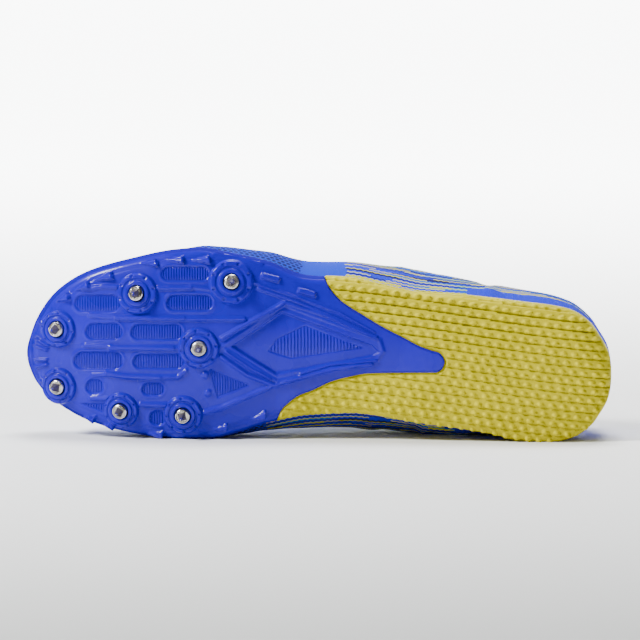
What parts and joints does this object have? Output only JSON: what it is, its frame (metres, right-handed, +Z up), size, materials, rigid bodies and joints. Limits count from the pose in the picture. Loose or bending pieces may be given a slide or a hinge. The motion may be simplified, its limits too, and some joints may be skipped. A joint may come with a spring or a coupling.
{
  "type": "track spike shoe",
  "caption": "Left running spike shoe lying on its side: hollow knit upper, foam midsole and a rigid forefoot plate with screw-in spikes.",
  "frame": {"origin": "under the middle of the shoe, on the floor it lies on", "axes": "+Z up, away from the floor and towards the shoe's outer side; +X towards the heel; -Y the way the sole faces"},
  "size_m": [0.281, 0.1064, 0.092],
  "materials": {
    "plate": "glossy moulded",
    "foam": "matte foam",
    "steel": "turned",
    "knit": "knitted zigzag stripes",
    "lining": "mesh",
    "insole": "woven",
    "lace": "woven"
  },
  "bodies": {
    "root": {"midsole": "foam", "insole": "insole", "upper": "knit", "tongue": "lining", "laces": "lace", "spike_plate": "plate", "spike_1": "steel", "spike_2": "steel", "spike_3": "steel", "spike_4": "steel", "spike_5": "steel", "spike_6": "steel", "spike_7": "steel"}
  },
  "joints": []
}
